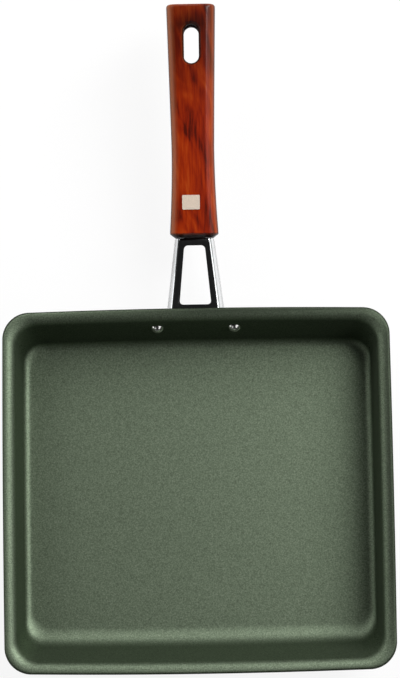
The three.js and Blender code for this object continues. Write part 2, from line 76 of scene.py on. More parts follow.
# Rivets
RIVET_SPACING = 38 * MM
RIVET_HEIGHT = 21.5 * MM
RIVET_SHANK = 4 * MM
RIVET_HEAD = 6.4 * MM
RIVET_DOME = 2.4 * MM
RIVET_TAIL = 1.5 * MM

# Bracket
BRACKET_SHEET = 1.5 * MM
BRACKET_REACH = 35.3 * MM
BRACKET_DROP = 7 * MM
BRACKET_PAN_WIDTH = 24.6 * MM
BRACKET_GRIP_WIDTH = 16.4 * MM
FLANGE_PAN_DEPTH = 12 * MM
FLANGE_GRIP_DEPTH = 9 * MM
FLANGE_SPLAY = radians(9)
BRACKET_BEND = 1.6 * MM
FOOT_BEND = 1.2 * MM
FOOT_EAR = 6.5 * MM
FOOT_MARGIN = 0.8 * MM
OPENING_PAN_WIDTH = 15.6 * MM
OPENING_GRIP_WIDTH = 10.1 * MM
OPENING_START = 2.5 * MM
OPENING_END_BAR = 3.8 * MM
OPENING_CORNER = 1.8 * MM
TONGUE_LENGTH = 15 * MM
TONGUE_NECK = 0.05 * MM
BRACKET_EDGE = 0.25 * MM

# Grip
HANDLE_RISE = radians(7)
GRIP_LENGTH = 114.6 * MM
GRIP_THICKNESS = 20 * MM
GRIP_NEAR_WIDTH = 24.2 * MM
GRIP_WAIST_WIDTH = 21 * MM
GRIP_FAR_WIDTH = 24.1 * MM
GRIP_WAIST_AT = 44 * MM
GRIP_NEAR_SWELL_POWER = 2
GRIP_FAR_SWELL_POWER = 1.1
GRIP_HOLLOW = 2.5 * MM
GRIP_EDGE = 5 * MM
GRIP_CHAMFER = 2.8 * MM
GRIP_CHAMFER_LENGTH = 2 * MM
GRIP_END_ROUND = 1.6 * MM
HANG_HOLE_WIDTH = 7.5 * MM
HANG_HOLE_LENGTH = 19.4 * MM
HANG_HOLE_MARGIN = 9.8 * MM
HANG_HOLE_CHAMFER = 1.2 * MM

# Bolt, washers and nut
BOLT_SHANK = 4 * MM
BOLT_HEAD = 7 * MM
BOLT_HEAD_HEIGHT = 2.6 * MM
BOLT_HEAD_EDGE = 0.5 * MM
BOLT_TIP_CHAMFER = 0.5 * MM
BOLT_OVERRUN = 2 * MM
BOLT_RECESS_WIDTH = 0.9 * MM
BOLT_RECESS_REACH = 4.2 * MM
BOLT_RECESS_DEPTH = 1.4 * MM
BOLT_SEAT_DEPTH = 7.5 * MM
WASHER_THICKNESS = 0.8 * MM
SPRING_WASHER_THICKNESS = 1.1 * MM
NUT_WIDTH = 7 * MM
NUT_HEIGHT = 3.2 * MM

# Label
LABEL_WIDTH = 8.6 * MM
LABEL_LENGTH = 7.1 * MM
LABEL_THICKNESS = 0.2 * MM
LABEL_FROM_NEAR_END = 17.2 * MM
LABEL_OFFSET = -1.3 * MM
LABEL_CORNER = 0.4 * MM

# Clearances
SEAT_GAP = 0.25 * MM
FIT_GAP = 0.2 * MM
GLUE_LINE = 0.1 * MM

# Coat: its speckle, the shade of each side, and the painted shade on the outer band of the rim, heaviest at
# the back right
COAT_SPECKLE = [(0.3, (0.096, 0.121, 0.083)), (0.5, (0.147, 0.187, 0.128)), (0.72, (0.215, 0.26, 0.188))]
INSIDE_SHADE = 1
# The outside coat is the same coat painted darker; along the rim's outer edge that darkness is painted shade.
OUTSIDE_SHADE = 0.32
RIM_SHADE_SOLID = 1.8 * MM
RIM_SHADE_REACH = 4.2 * MM
RIM_SHADE_TOWARDS = (1, 0.7, 0)
RIM_SHADE_START = -17 * MM
RIM_SHADE_FULL = 65 * MM

# Wood: its stain, the size of its broad figure and fine grain, and the slant of the figure
STAIN = [(0.34, (0.06, 0.004, 0.001)), (0.44, (0.19, 0.011, 0.001)), (0.54, (0.27, 0.021, 0.001)),
         (0.66, (0.35, 0.05, 0.005))]
# Deep stain that also paints shade, a paler tone that paints sheen on the rounded edges, and end grain that
# also paints shade on the near chamfer.
DEEP_STAIN_AND_SHADE = (0.12, 0.1, 0.1, 1)
PAINTED_SHEEN = (0.42, 0.13, 0.045, 1)
END_GRAIN_AND_SHADE = (0.012, 0.003, 0.002, 1)
FIGURE_SIZE = (7 * MM, 30 * MM, 7 * MM)
FIGURE_SLANT = radians(14)
GRAIN_SIZE = (1.1 * MM, 16 * MM, 1.1 * MM)
GRAIN_SHARE = 0.42

# Wood: how far painted shade reaches out from the wall of the hanging hole all round, and how far dark stain
# is smeared beyond it
HOLE_SHADE_SOLID = 0.4 * MM
HOLE_SHADE_REACH = 1.1 * MM
SMEAR_SOLID = 1 * MM
SMEAR_REACH = 7.5 * MM

# Camera: above the pan, leaning a little towards its front and right
CAMERA_DISTANCE = 1400 * MM
CAMERA_TILT = radians(7.26)
CAMERA_TURN = radians(0.5)
CAMERA_ROLL = radians(0.9)
CAMERA_AIM = Vector((2, 73.71, 32)) * MM
CAMERA_LENS = 152.05
CAMERA_SENSOR = 36

# Lamps on a dome round the pan: azimuth and elevation in degrees, size in metres and radiance
LAMP_DISTANCE = 1.3
LAMP_AIM = Vector((0, 30, 20)) * MM
LAMPS = {
    "key_high": (36, 58, (0.4, 0.5), 9.5),
    "key_low": (40, 36, (0.45, 0.5), 13),
    "right": (0, 44, (0.8, 1), 1.5),
    "back": (92, 32, (1.15, 0.5), 2.8),
    "back_left": (140, 40, (0.5, 0.5), 4.2),
    "left_low": (180, 13, (0.9, 0.45), 2),
    "front_left": (225, 40, (0.5, 0.5), 0.8),
    "front_right": (318, 40, (0.5, 0.5), 2),
}

# Floor and sky
FLOOR_HALF_SIZE = 6
FLOOR_DROP = 0.2 * MM
FLOOR_GLOW = 0.88
FLOOR_SHADE_REACH = 60 * MM
SKY = [(0.0, 0.8), (0.06, 0.5), (0.2, 0.06), (0.9, 0.02)]


# General helpers

def verts_of(geometry):
    return [g for g in geometry if isinstance(g, bmesh.types.BMVert)]


def edges_of(geometry):
    return [g for g in geometry if isinstance(g, bmesh.types.BMEdge)]


def faces_of(geometry):
    return [g for g in geometry if isinstance(g, bmesh.types.BMFace)]


def finished(name, bm, materials, node, sharp=40):
    """Turn a bmesh into a piece of the pan that stands for a node."""
    mesh = bpy.data.meshes.new(name)
    bm.to_mesh(mesh)
    bm.free()
    mesh.shade_smooth()
    mesh.set_sharp_from_angle(angle=radians(sharp))
    for material in materials:
        mesh.materials.append(material)
    piece = bpy.data.objects.new(name, mesh)
    bpy.context.scene.collection.objects.link(piece)
    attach(piece, "root")
    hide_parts(node)
    return piece


def closed(bm):
    """Merge what touches and point the faces of a closed body outwards."""
    bmesh.ops.remove_doubles(bm, verts=bm.verts, dist=0.001 * MM)
    bmesh.ops.recalc_face_normals(bm, faces=bm.faces)


def lerp(a, b, t):
    return a + (b - a) * t


def steps(start, end, count):
    return [lerp(start, end, k / count) for k in range(count + 1)]


# Pan body

LIP_CENTRE_OUT = LIP_RADIUS - LIP_WIDTH
LIP_CENTRE_UP = PAN_HEIGHT - LIP_RADIUS
CORNER_STEPS = 12
SIDE_CUTS = 11
FILLET_STEPS = 14
WALL_STEPS = 5
CREST_STEPS = 9
EDGE_STEPS = 8
FILLET_TURN = radians(74)
FLOOR_SUPPORT = 1.5 * MM
OUTSIDE_FROM_LEVEL = FILLET_STEPS + WALL_STEPS + CREST_STEPS + 3


def wall_section(lean, fillet):
    """One wall: how far its inner and outer skins stand from the rim's outer edge at a height z."""
    bend_up = PAN_SHEET + fillet
    top_out = LIP_CENTRE_OUT - LIP_RADIUS * cos(lean)
    top_up = LIP_CENTRE_UP + LIP_RADIUS * sin(lean)
    fillet_up = bend_up - fillet * sin(lean)
    floor_out = top_out - (top_up - fillet_up) * tan(lean) - fillet * cos(lean)

    def skin(z, bend, roll):
        wall_start = bend_up - bend * sin(lean)
        wall_end = LIP_CENTRE_UP + roll * sin(lean)
        if z < wall_start:
            return floor_out + sqrt(max(0, bend ** 2 - (bend_up - z) ** 2))
        if z > wall_end:
            return LIP_CENTRE_OUT - sqrt(max(0, roll ** 2 - (z - LIP_CENTRE_UP) ** 2))
        return floor_out + bend * cos(lean) + (z - wall_start) * tan(lean)

    def inner(z):
        return skin(z, fillet, LIP_RADIUS)

    def outer(z):
        return skin(z, fillet + PAN_SHEET, LIP_RADIUS - PAN_SHEET)

    return inner, outer


INNER, OUTER = 0, 1
SIDE_WALL = wall_section(SIDE_LEAN, SIDE_FILLET)
FRONT_WALL = wall_section(FRONT_LEAN, FRONT_FILLET)
BACK_WALL = wall_section(BACK_LEAN, BACK_FILLET)
WALLS = [SIDE_WALL, FRONT_WALL, BACK_WALL]


def corner_radius(skin, z):
    """Corner radius of a skin at a height: it grows up the wall, and again out over the lip."""
    at_wall_top = WALL_CORNER + (PAN_SHEET if skin == OUTER else 0)
    if z < LIP_CENTRE_UP:
        return lerp(FLOOR_CORNER, at_wall_top, z / LIP_CENTRE_UP)
    roll_start = SIDE_WALL[skin](LIP_CENTRE_UP)
    spread = (SIDE_WALL[skin](z) - roll_start) / (LIP_CENTRE_OUT - roll_start)
    return lerp(at_wall_top, RIM_CORNER, spread)


def pan_levels():
    """The pan's outline from the floor over the lip to the base: reach of the walls, corner and height."""
    levels = []
    largest = max(SIDE_FILLET, BACK_FILLET, FRONT_FILLET)
    least_lean = min(SIDE_LEAN, BACK_LEAN, FRONT_LEAN)

    def level(skin, z):
        levels.append(([wall[skin](z) for wall in WALLS], corner_radius(skin, z), z))

    def lip(out, z):
        levels.append(([out, out, out], RIM_CORNER, z))

    fillet_turns = steps(0, FILLET_TURN, FILLET_STEPS)
    crest_turns = steps(least_lean, pi / 2, CREST_STEPS)
    for turn in fillet_turns:
        level(INNER, PAN_SHEET + largest * (1 - cos(turn)))
    for z in steps(levels[-1][2], LIP_CENTRE_UP + LIP_RADIUS * sin(least_lean), WALL_STEPS)[1:-1]:
        level(INNER, z)
    for turn in crest_turns:
        level(INNER, LIP_CENTRE_UP + LIP_RADIUS * sin(turn))
    droop_out = LIP_CENTRE_OUT + LIP_RADIUS * sin(LIP_DROOP)
    droop_up = LIP_CENTRE_UP + LIP_RADIUS * cos(LIP_DROOP)
    lip(droop_out, droop_up)
    edge = PAN_SHEET / 2
    edge_up = droop_up - (edge * sin(LIP_DROOP) - edge - droop_out) * tan(LIP_DROOP) - edge * cos(LIP_DROOP)
    for turn in steps(pi / 2 - LIP_DROOP, -pi / 2 - LIP_DROOP, EDGE_STEPS):
        lip(edge * cos(turn) - edge, edge_up + edge * sin(turn))
    for turn in reversed(crest_turns):
        level(OUTER, LIP_CENTRE_UP + (LIP_RADIUS - PAN_SHEET) * sin(turn))
    for z in steps(levels[-1][2], (largest + PAN_SHEET) * (1 - cos(FILLET_TURN)), WALL_STEPS)[1:-1]:
        level(OUTER, z)
    for turn in reversed(fillet_turns):
        level(OUTER, (largest + PAN_SHEET) * (1 - cos(turn)))
    return levels


def corner_centre(level, x, y):
    """Centre of the rounded corner that a point of a level belongs to."""
    (side_out, front_out, back_out), corner, _ = level
    reach_x = RIM_WIDTH / 2 + side_out - SIDE_BOW - corner
    reach_y = RIM_LENGTH / 2 + (back_out if y > 0 else front_out) - END_BOW - corner
    return Vector((reach_x if x > 0 else -reach_x, reach_y if y > 0 else -reach_y, 0))


def move_to_level(verts, old, new):
    for vert in verts:
        flat = Vector((vert.co.x, vert.co.y, 0))
        turned = (flat - corner_centre(old, flat.x, flat.y)) * (new[1] / old[1])
        vert.co = corner_centre(new, flat.x, flat.y) + turned + Vector((0, 0, new[2]))


def bow_walls(bm):
    """Rim and walls bow out slightly between the corners."""
    reach_x = RIM_WIDTH / 2 - SIDE_BOW - RIM_CORNER
    reach_y = RIM_LENGTH / 2 - END_BOW - RIM_CORNER
    for vert in bm.verts:
        x, y, _ = vert.co
        vert.co.x += SIDE_BOW * x / (RIM_WIDTH / 2) * max(0, 1 - (y / reach_y) ** 2)
        vert.co.y += END_BOW * y / (RIM_LENGTH / 2) * max(0, 1 - (x / reach_x) ** 2)


def pan_body(inside, outside):
    """The pressed pan. Its outside coat starts on the rolled edge of the lip."""
    bm = bmesh.new()
    levels = pan_levels()
    half_step = Matrix.Rotation(pi / (4 * CORNER_STEPS), 3, "Z").to_4x4()
    ring = bmesh.ops.create_circle(bm, segments=4 * CORNER_STEPS, radius=levels[0][1], matrix=half_step)
    for vert in ring["verts"]:
        x, y, _ = vert.co
        vert.co += corner_centre(levels[0], x, y) + Vector((0, 0, levels[0][2]))
    edges = bm.edges[:]
    floor = bmesh.ops.edgeloop_fill(bm, edges=edges)["faces"]
    for number, (old, new) in enumerate(zip(levels, levels[1:])):
        grown = bmesh.ops.extrude_edge_only(bm, edges=edges)["geom"]
        move_to_level(verts_of(grown), old, new)
        edges = edges_of(grown)
        for face in faces_of(grown):
            face.material_index = int(number >= OUTSIDE_FROM_LEVEL)
    base = bmesh.ops.edgeloop_fill(bm, edges=edges, mat_nr=1)["faces"]
    for face in floor + base:
        bmesh.ops.inset_region(bm, faces=[face], thickness=FLOOR_SUPPORT, use_even_offset=True)
    runs = [edge for edge in bm.edges if edge.calc_length() > 2 * RIM_CORNER]
    bmesh.ops.subdivide_edges(bm, edges=runs, cuts=SIDE_CUTS, use_grid_fill=True)
    bow_walls(bm)
    closed(bm)
    return finished("pan_body_coated", bm, [inside, outside], "pan_body", sharp=60)


# Rivets

def bow_fall(x):
    corner = corner_radius(OUTER, RIVET_HEIGHT)
    reach = RIM_WIDTH / 2 + SIDE_WALL[OUTER](RIVET_HEIGHT) - SIDE_BOW - corner
    return END_BOW * (x / reach) ** 2


def wall_place(x):
    """Place on the outer skin of the back wall at rivet height, with Y out of the pan."""
    y = RIM_LENGTH / 2 + BACK_WALL[OUTER](RIVET_HEIGHT) - bow_fall(x)
    return Matrix.Translation((x, y, RIVET_HEIGHT)) @ Matrix.Rotation(-BACK_LEAN, 4, "X")


def spun_about_y(bm, segments):
    """Spin the profile in a bmesh into a closed round body about the Y axis."""
    bmesh.ops.spin(bm, geom=bm.verts[:] + bm.edges[:], cent=(0, 0, 0), axis=(0, 1, 0), dvec=(0, 0, 0),
                   angle=2 * pi, steps=segments, use_merge=True, use_duplicate=False)
    closed(bm)


def profile_line(bm, points):
    """A chain of edges through points (radius, y)."""
    last = None
    for radius, y in points:
        vert = bm.verts.new((radius, y, 0))
        if last:
            bm.edges.new((last, vert))
        last = vert
    return last


def dome(radius, height, base, direction):
    """Points over a shallow dome from its crown to its edge."""
    ball = (radius ** 2 + height ** 2) / (2 * height)
    centre = base + direction * (height - ball)
    turns = steps(0, asin(radius / ball), 8)
    return [(ball * sin(turn), centre + direction * ball * cos(turn)) for turn in turns]


def rivet(name, side, material):
    inside = -PAN_SHEET - SEAT_GAP
    outside = 2 * SEAT_GAP + BRACKET_SHEET + bow_fall(RIVET_SPACING / 2)
    shank = RIVET_SHANK / 2
    head = dome(RIVET_HEAD / 2, RIVET_DOME, inside, -1)
    tail = dome(RIVET_HEAD / 2, RIVET_TAIL, outside, 1)
    bm = bmesh.new()
    profile_line(bm, head + [(shank, inside), (shank, outside)] + tail[::-1])
    spun_about_y(bm, 40)
    bm.transform(wall_place(side * RIVET_SPACING / 2))
    return finished("rivet_" + name + "_bright", bm, [material], "rivet_" + name)


# Handle: in its own frame Y runs along the bolt, with 0 at the near end of the grip, and Z is up

WEB_TOP = NUT_WIDTH / 2 + FIT_GAP + BRACKET_SHEET
TONGUE_WIDTH = NUT_WIDTH + 2 * (FIT_GAP + BRACKET_SHEET)
TONGUE_BOTTOM = -NUT_WIDTH / 2 - FIT_GAP
HANDLE_TURN = Matrix.Rotation(HANDLE_RISE, 4, "X")
HANDLE_START = Vector((0, RIM_LENGTH / 2, PAN_HEIGHT - BRACKET_DROP))
HANDLE_START += HANDLE_TURN @ Vector((0, BRACKET_REACH, -WEB_TOP))
HANDLE = Matrix.Translation(HANDLE_START) @ HANDLE_TURN


def foot_plane():
    """A point on the outer face of the bracket's foot and the way it faces, in the handle's frame."""
    into_handle = HANDLE.inverted() @ wall_place(0)
    return into_handle @ Vector((0, SEAT_GAP + BRACKET_SHEET, 0)), into_handle.to_3x3() @ Vector((0, 1, 0))


def foot_up(z):
    """How far above the rivets a height of the channel meets the foot, measured up the wall."""
    point, _ = foot_plane()
    y = point.y + (z - point.z) * tan(BACK_LEAN + HANDLE_RISE)
    return (wall_place(0).inverted() @ HANDLE @ Vector((0, y, z))).z


def bracket_half_width(y):
    return lerp(BRACKET_GRIP_WIDTH, BRACKET_PAN_WIDTH, -y / BRACKET_REACH) / 2


def flange_depth(y):
    return lerp(FLANGE_GRIP_DEPTH, FLANGE_PAN_DEPTH, -y / BRACKET_REACH)


def bracket_web(bm):
    """The tapered web with its rounded opening. It runs on past the foot, where it is cut off later."""
    far = -SEAT_GAP - TONGUE_NECK
    near = -BRACKET_REACH - FLANGE_PAN_DEPTH
    corners = [(-1, near), (1, near), (1, far), (-1, far)]
    web = bm.faces.new([bm.verts.new((side * bracket_half_width(y), y, WEB_TOP)) for side, y in corners])
    bmesh.ops.inset_individual(bm, faces=[web], thickness=OPENING_END_BAR, use_even_offset=True)
    opening = list(web.verts)
    for vert in opening:
        at_pan = vert.co.y < (near + far) / 2
        width = OPENING_PAN_WIDTH if at_pan else OPENING_GRIP_WIDTH
        vert.co.x = width / 2 if vert.co.x > 0 else -width / 2
        vert.co.y = OPENING_START - BRACKET_REACH if at_pan else -OPENING_END_BAR
    bmesh.ops.delete(bm, geom=[web], context="FACES_ONLY")
    bmesh.ops.bevel(bm, geom=opening, offset=OPENING_CORNER, affect="VERTICES", segments=6, profile=0.5,
                    material=-1)


def bracket_flanges(bm):
    """Fold the two long edges of the web down into flanges that splay a little."""
    folds = [e for e in bm.edges if e.is_boundary and e.verts[0].co.x * e.verts[1].co.x > 0
             and e.calc_length() > BRACKET_REACH]
    grown = bmesh.ops.extrude_edge_only(bm, edges=folds)["geom"]
    for vert in verts_of(grown):
        side = 1 if vert.co.x > 0 else -1
        depth = flange_depth(vert.co.y)
        vert.co += Vector((side * depth * tan(FLANGE_SPLAY), 0, -depth))
    bmesh.ops.bevel(bm, geom=folds, offset=BRACKET_BEND * tan((pi / 2 - FLANGE_SPLAY) / 2), affect="EDGES",
                    segments=8, profile=0.5, material=-1)
    bmesh.ops.recalc_face_normals(bm, faces=bm.faces)


def bracket_flare(bm):
    """Cut the channel off along the foot and turn its end out onto it."""
    point, facing = foot_plane()
    cut = bmesh.ops.bisect_plane(bm, geom=bm.verts[:] + bm.edges[:] + bm.faces[:], dist=0.001 * MM,
                                 plane_co=point + facing * FOOT_BEND, plane_no=facing, clear_inner=True)
    edges = edges_of(cut["geom_cut"])
    bm.normal_update()
    starts = {}
    for vert in {v for e in edges for v in e.verts}:
        starts[vert] = (vert.co.copy(), (vert.normal - facing * vert.normal.dot(facing)).normalized())
    for turn in steps(0, pi / 2, 5)[1:]:
        grown = bmesh.ops.extrude_edge_only(bm, edges=edges)["geom"]
        moved = {}
        for vert in verts_of(grown):
            old = min(starts, key=lambda other: (other.co - vert.co).length)
            moved[vert] = starts[old]
        for vert, (start, outwards) in moved.items():
            vert.co = start + outwards * FOOT_BEND * (1 - cos(turn))
            vert.co.y -= FOOT_BEND * sin(turn) / facing.y
        starts = moved
        edges = edges_of(grown)


def bracket_tongue(bm):
    """Neck the channel in and run it on as the tongue inside the grip."""
    far = -SEAT_GAP - TONGUE_NECK
    edges = [e for e in bm.edges if e.is_boundary and min(v.co.y for v in e.verts) > far - 0.01 * MM]
    narrow = TONGUE_WIDTH / 2 / bracket_half_width(far)
    shallow = (WEB_TOP - TONGUE_BOTTOM) / flange_depth(far)
    neck = bmesh.ops.extrude_edge_only(bm, edges=edges)["geom"]
    for vert in verts_of(neck):
        x = max(-TONGUE_WIDTH / 2, min(TONGUE_WIDTH / 2, vert.co.x * narrow))
        vert.co = Vector((x, -SEAT_GAP, WEB_TOP - (WEB_TOP - vert.co.z) * shallow))
    tongue = bmesh.ops.extrude_edge_only(bm, edges=edges_of(neck))["geom"]
    bmesh.ops.translate(bm, verts=verts_of(tongue), vec=(0, TONGUE_LENGTH + SEAT_GAP, 0))


def soften(bm, width, angle=40):
    """Break the sharp edges of a sheet."""
    sharp = [e for e in bm.edges if len(e.link_faces) == 2 and e.calc_face_angle() > radians(angle)]
    bmesh.ops.bevel(bm, geom=sharp, offset=width, affect="EDGES", segments=2, profile=0.5, material=-1,
                    clamp_overlap=True)


def bracket(material):
    bm = bmesh.new()
    bracket_web(bm)
    bracket_flanges(bm)
    bracket_flare(bm)
    bracket_tongue(bm)
    bmesh.ops.recalc_face_normals(bm, faces=bm.faces)
    bmesh.ops.solidify(bm, geom=bm.faces[:], thickness=-BRACKET_SHEET)
    closed(bm)
    soften(bm, BRACKET_EDGE)
    for extra in (bracket_foot(), bracket_tab()):
        mesh = bpy.data.meshes.new("extra")
        extra.to_mesh(mesh)
        extra.free()
        bm.from_mesh(mesh)
        bpy.data.meshes.remove(mesh)
    bm.transform(HANDLE)
    return finished("handle_bracket_polished", bm, [material], "handle_bracket")


def bracket_foot():
    """Foot plate in the handle's frame: it carries the channel and runs out to an ear at each rivet."""
    ear = RIVET_SPACING / 2 + FOOT_EAR
    top = max(foot_up(WEB_TOP) + FOOT_BEND + FOOT_MARGIN, FOOT_EAR)
    bottom = min(foot_up(WEB_TOP - flange_depth(foot_plane()[0].y)) - FOOT_MARGIN, -FOOT_EAR)
    outline = [(-ear, bottom), (ear, bottom), (ear, top), (-ear, top)]
    bm = bmesh.new()
    bm.faces.new([bm.verts.new((x, SEAT_GAP + BRACKET_SHEET, z)) for x, z in outline])
    bmesh.ops.bevel(bm, geom=bm.verts[:], offset=FOOT_EAR, affect="VERTICES", segments=10, profile=0.5,
                    material=-1)
    sheet = bmesh.ops.extrude_face_region(bm, geom=bm.faces[:])["geom"]
    bmesh.ops.translate(bm, verts=verts_of(sheet), vec=(0, -BRACKET_SHEET, 0))
    closed(bm)
    soften(bm, BRACKET_EDGE)
    bm.transform(HANDLE.inverted() @ wall_place(0))
    return bm


def bracket_tab():
    """The tab that closes the end of the tongue, with the hole for the bolt."""
    bm = bmesh.new()
    bmesh.ops.create_cube(bm, size=1)
    bmesh.ops.scale(bm, verts=bm.verts, vec=(NUT_WIDTH, BRACKET_SHEET, NUT_WIDTH))
    bmesh.ops.translate(bm, verts=bm.verts, vec=(0, TONGUE_LENGTH - FIT_GAP - BRACKET_SHEET / 2, 0))
    return carved(bm, [bore_cutter(BOLT_SHANK + 2 * FIT_GAP, 0, 2 * TONGUE_LENGTH)])


# Grip

GRIP_TOP = GRIP_THICKNESS / 2
HOLE_CENTRE = GRIP_LENGTH - HANG_HOLE_MARGIN - HANG_HOLE_LENGTH / 2
BOLT_SEAT = HOLE_CENTRE - HANG_HOLE_LENGTH / 2 - BOLT_SEAT_DEPTH
GRIP_CUTS = 30


def grip_half_width(y):
    near = (GRIP_WAIST_AT - y) / GRIP_WAIST_AT
    far = (y - GRIP_WAIST_AT) / (GRIP_LENGTH - GRIP_WAIST_AT)
    if y < GRIP_WAIST_AT:
        swell = near ** GRIP_NEAR_SWELL_POWER * (GRIP_NEAR_WIDTH - GRIP_WAIST_WIDTH)
    else:
        swell = far ** GRIP_FAR_SWELL_POWER * (GRIP_FAR_WIDTH - GRIP_WAIST_WIDTH)
    return (GRIP_WAIST_WIDTH + swell) / 2


def grip_bottom(y):
    return -GRIP_TOP + GRIP_HOLLOW * sin(pi * y / GRIP_LENGTH) ** 2


def grip_blank():
    """The waisted bar of wood with its long edges rounded and its ends chamfered and rounded."""
    bm = bmesh.new()
    bmesh.ops.create_cube(bm, size=1)
    bmesh.ops.translate(bm, verts=bm.verts, vec=(0, 0.5, 0))
    bmesh.ops.scale(bm, verts=bm.verts, vec=(GRIP_NEAR_WIDTH, GRIP_LENGTH, GRIP_THICKNESS))
    long_edges = [e for e in bm.edges if e.calc_length() > GRIP_LENGTH / 2]
    bmesh.ops.subdivide_edges(bm, edges=long_edges, cuts=GRIP_CUTS, use_grid_fill=True)
    for vert in bm.verts:
        x, y, z = vert.co
        vert.co.x = grip_half_width(y) * (1 if x > 0 else -1)
        vert.co.z = GRIP_TOP if z > 0 else grip_bottom(y)
    long_edges = [e for e in bm.edges if abs(e.verts[0].co.y - e.verts[1].co.y) > MM]
    bmesh.ops.bevel(bm, geom=long_edges, offset=GRIP_EDGE, affect="EDGES", segments=8, profile=0.5,
                    material=-1)
    near = [e for e in bm.edges if max(v.co.y for v in e.verts) < 0.01 * MM]
    bmesh.ops.bevel(bm, geom=near, offset=GRIP_CHAMFER, affect="EDGES", segments=1, profile=0.5, material=-1)
    for vert in bm.verts:
        if abs(vert.co.y - GRIP_CHAMFER) < 0.01 * MM:
            vert.co.y = GRIP_CHAMFER_LENGTH
    far = [e for e in bm.edges if min(v.co.y for v in e.verts) > GRIP_LENGTH - 0.01 * MM]
    bmesh.ops.bevel(bm, geom=far, offset=GRIP_END_ROUND, affect="EDGES", segments=5, profile=0.5, material=-1)
    closed(bm)
    return bm


def hole_cutter():
    """A slot with round ends that widens towards both faces of the grip."""
    bm = bmesh.new()
    straight = (HANG_HOLE_LENGTH - HANG_HOLE_WIDTH) / 2
    bottom = grip_bottom(HOLE_CENTRE)
    proud = HANG_HOLE_CHAMFER
    levels = [(bottom - proud, 2 * HANG_HOLE_CHAMFER), (bottom + HANG_HOLE_CHAMFER, 0),
              (GRIP_TOP - HANG_HOLE_CHAMFER, 0), (GRIP_TOP + proud, 2 * HANG_HOLE_CHAMFER)]
    half_step = Matrix.Rotation(pi / 48, 3, "Z").to_4x4()
    bmesh.ops.create_circle(bm, segments=48, radius=HANG_HOLE_WIDTH / 2, matrix=half_step)
    for vert in bm.verts:
        vert.co.y += HOLE_CENTRE + (straight if vert.co.y > 0 else -straight)
    edges = bm.edges[:]
    rings = [bm.verts[:]]
    bmesh.ops.edgeloop_fill(bm, edges=edges)
    for level in levels[1:]:
        grown = bmesh.ops.extrude_edge_only(bm, edges=edges)["geom"]
        rings.append(verts_of(grown))
        edges = edges_of(grown)
    bmesh.ops.edgeloop_fill(bm, edges=edges)
    for verts, (z, grow) in zip(rings, levels):
        for vert in verts:
            end = HOLE_CENTRE + (straight if vert.co.y > HOLE_CENTRE else -straight)
            away = Vector((vert.co.x, vert.co.y - end, 0))
            vert.co = Vector((0, end, z)) + away * (1 + grow / (HANG_HOLE_WIDTH / 2))
    closed(bm)
    return bm


def bore_cutter(diameter, start, end):
    bm = bmesh.new()
    profile_line(bm, [(0, start), (diameter / 2, start), (diameter / 2, end), (0, end)])
    spun_about_y(bm, 40)
    return bm


def socket_cutter():
    bm = bmesh.new()
    half = TONGUE_WIDTH / 2 + FIT_GAP
    bottom, top = TONGUE_BOTTOM - FIT_GAP, WEB_TOP + FIT_GAP
    depth = TONGUE_LENGTH + SEAT_GAP
    bmesh.ops.create_cube(bm, size=1)
    bmesh.ops.scale(bm, verts=bm.verts, vec=(2 * half, 2 * depth, top - bottom))
    bmesh.ops.translate(bm, verts=bm.verts, vec=(0, 0, (top + bottom) / 2))
    return bm


def as_object(name, bm):
    mesh = bpy.data.meshes.new(name)
    bm.to_mesh(mesh)
    bm.free()
    for _ in range(2):
        mesh.materials.append(None)
    thing = bpy.data.objects.new(name, mesh)
    bpy.context.scene.collection.objects.link(thing)
    return thing


def carved(bm, cutters):
    """Cut shapes out of a body, and give the result back as a bmesh."""
    body = as_object("body", bm)
    tools = [as_object("cutter", cutter) for cutter in cutters]
    for tool in tools:
        cut = body.modifiers.new("cut", "BOOLEAN")
        cut.operation = "DIFFERENCE"
        cut.solver = "EXACT"
        cut.object = tool
    depsgraph = bpy.context.evaluated_depsgraph_get()
    result = bmesh.new()
    result.from_mesh(body.evaluated_get(depsgraph).to_mesh())
    for thing in [body] + tools:
        mesh = thing.data
        bpy.data.objects.remove(thing)
        bpy.data.meshes.remove(mesh)
    return result


def wood_grip(lacquered, bare):
    cutters = [hole_cutter(), socket_cutter(),
               bore_cutter(BOLT_SHANK + 2 * FIT_GAP, TONGUE_LENGTH, HOLE_CENTRE),
               bore_cutter(BOLT_HEAD + 2 * FIT_GAP, BOLT_SEAT, GRIP_LENGTH + GRIP_END_ROUND)]
    for cutter in cutters:
        for face in cutter.faces:
            face.material_index = 1
    bm = carved(grip_blank(), cutters)
    lower = grip_bottom(HOLE_CENTRE) + HANG_HOLE_CHAMFER
    upper = GRIP_TOP - HANG_HOLE_CHAMFER
    for face in bm.faces:
        if not lower < face.calc_center_median().z < upper:
            face.material_index = 0
    bm.transform(HANDLE)
    return finished("wood_grip_lacquered", bm, [lacquered, bare], "wood_grip", sharp=30)


# Bolt

BOLT_HEAD_AT = BOLT_SEAT + WASHER_THICKNESS + SPRING_WASHER_THICKNESS + 3 * SEAT_GAP
BOLT_HEAD_TOP = BOLT_HEAD_AT + BOLT_HEAD_HEIGHT
BOLT_TIP = TONGUE_LENGTH - FIT_GAP - BRACKET_SHEET - SEAT_GAP - NUT_HEIGHT - BOLT_OVERRUN


def recess_cutter(size):
    bm = bmesh.new()
    bmesh.ops.create_cube(bm, size=1)
    bmesh.ops.scale(bm, verts=bm.verts, vec=size)
    bmesh.ops.translate(bm, verts=bm.verts, vec=(0, BOLT_HEAD_TOP, 0))
    return bm


